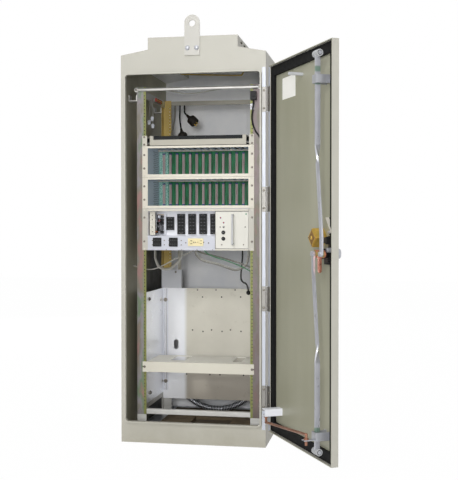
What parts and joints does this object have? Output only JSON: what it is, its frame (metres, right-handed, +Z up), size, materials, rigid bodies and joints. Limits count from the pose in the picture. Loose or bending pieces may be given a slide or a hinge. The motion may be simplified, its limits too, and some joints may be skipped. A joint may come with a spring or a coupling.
{
  "type": "roadside equipment cabinet",
  "caption": "Tall sheet-metal roadside cabinet with an open side-hinged door, a rod latch with rollers, lifting plates and a rack cage that holds card files, a drawer and a power assembly.",
  "frame": {"origin": "middle of the anchor pattern on the underside of the base", "axes": "+Z up, the door side faces -Y, the door is hinged on the +X side"},
  "size_m": [0.9421, 1.3169, 1.772],
  "materials": {
    "housing_paint": "satin",
    "zinc_plate": "satin",
    "hinge_paint": "satin",
    "rail_plating": "satin",
    "cage_steel": "satin",
    "unit_paint": "satin",
    "board_green": "satin",
    "socket_plastic": "matte",
    "black_plastic": "matte",
    "ivory_plastic": "gloss",
    "white_sheet": "satin",
    "cable_sleeve": "matte",
    "door_paint": "satin",
    "gasket_rubber": "matte",
    "card_paper": "matte",
    "peg_plating": "gloss",
    "black_steel": "satin",
    "lock_brass": "satin",
    "copper_plating": "satin",
    "roller_plastic": "satin"
  },
  "bodies": {
    "cabinet": {"side_wall_left": "housing_paint", "side_wall_right": "housing_paint", "back_wall": "housing_paint", "front_frame": "housing_paint", "roof": "housing_paint", "base_flange": "zinc_plate", "lifting_plate_front": "zinc_plate", "lifting_plate_rear": "zinc_plate", "lifting_bolts": "zinc_plate", "hinge_leaves_cabinet": "hinge_paint", "hinge_pins": "zinc_plate", "rail_front_left": "rail_plating", "rail_front_right": "rail_plating", "rails_rear": "rail_plating", "tie_top_front": "cage_steel", "tie_bottom_front": "cage_steel", "ties_rear": "cage_steel", "braces_left": "cage_steel", "braces_right": "cage_steel", "cage_mounts": "cage_steel", "drawer_guides": "unit_paint", "card_file_upper": "unit_paint", "card_file_lower": "unit_paint", "backplane_upper": "board_green", "backplane_lower": "board_green", "card_sockets_upper": "socket_plastic", "card_sockets_lower": "socket_plastic", "power_chassis": "unit_paint", "relay_sockets": "black_plastic", "power_outlets": "black_plastic", "duplex_outlet": "ivory_plastic", "power_relay": "black_plastic", "power_module": "unit_paint", "lower_shelf": "unit_paint", "lower_panels": "white_sheet", "conduit": "black_plastic", "cable_left": "cable_sleeve", "cable_right": "cable_sleeve", "switch_box": "black_plastic", "fan_tray": "rail_plating"},
    "door": {"door_pan": "door_paint", "door_gasket": "gasket_rubber", "hinge_leaves_door": "hinge_paint", "log_card": "card_paper", "door_peg": "peg_plating", "rod_guide_upper": "zinc_plate", "rod_guide_lower": "zinc_plate", "latch_plate": "black_steel", "lock_body": "lock_brass", "stay_bracket": "white_sheet"},
    "latch": {"latch_handle": "zinc_plate", "latch_cam": "copper_plating"},
    "rod_upper": {"latch_rod_upper": "zinc_plate"},
    "rod_lower": {"latch_rod_lower": "zinc_plate"},
    "rollers_upper": {"latch_rollers_upper": "roller_plastic"},
    "rollers_lower": {"latch_rollers_lower": "roller_plastic"},
    "stay": {"stay_rod": "copper_plating"},
    "drawer": {"drawer": "unit_paint"},
    "fan": {"fan_rotor": "black_plastic"}
  },
  "joints": [
    {"name": "door_hinge", "type": "hinge", "parent": "cabinet", "child": "door", "pos_m": [0.3105, -0.385, 0.811], "axis": [0, 0, 1], "range_deg": [-119, 46]},
    {"name": "latch_turn", "type": "hinge", "parent": "door", "child": "latch", "pos_m": [0.57302, -0.85861, 0.808], "axis": [-0.8746, -0.4848, 0], "range_deg": [0, 90]},
    {"name": "rod_upper_slide", "type": "slide", "parent": "door", "child": "rod_upper", "axis": [0, 0, 1], "range_m": [0, 0.034]},
    {"name": "rod_lower_slide", "type": "slide", "parent": "door", "child": "rod_lower", "axis": [0, 0, -1], "range_m": [0, 0.034]},
    {"name": "rollers_upper_spin", "type": "hinge", "parent": "rod_upper", "child": "rollers_upper", "pos_m": [0.5551, -0.86855, 1.507], "axis": [0.4848, -0.8746, 0], "continuous": true},
    {"name": "rollers_lower_spin", "type": "hinge", "parent": "rod_lower", "child": "rollers_lower", "pos_m": [0.5551, -0.86855, 0.115], "axis": [0.4848, -0.8746, 0], "continuous": true},
    {"name": "stay_swing", "type": "hinge", "parent": "door", "child": "stay", "pos_m": [0.32157, -0.48748, 0.155], "axis": [0, 0, -1], "range_deg": [0, 125]},
    {"name": "drawer_slide", "type": "slide", "parent": "cabinet", "child": "drawer", "axis": [0, -1, 0], "range_m": [0, 0.3]},
    {"name": "fan_spin", "type": "hinge", "parent": "cabinet", "child": "fan", "pos_m": [0, -0.191, 1.625], "axis": [0, 0, 1], "continuous": true}
  ],
  "couplings": [
    {"joint": "rod_upper_slide", "follows": "latch_turn", "m_per_rad": 0.021645},
    {"joint": "rod_lower_slide", "follows": "latch_turn", "m_per_rad": 0.021645}
  ]
}
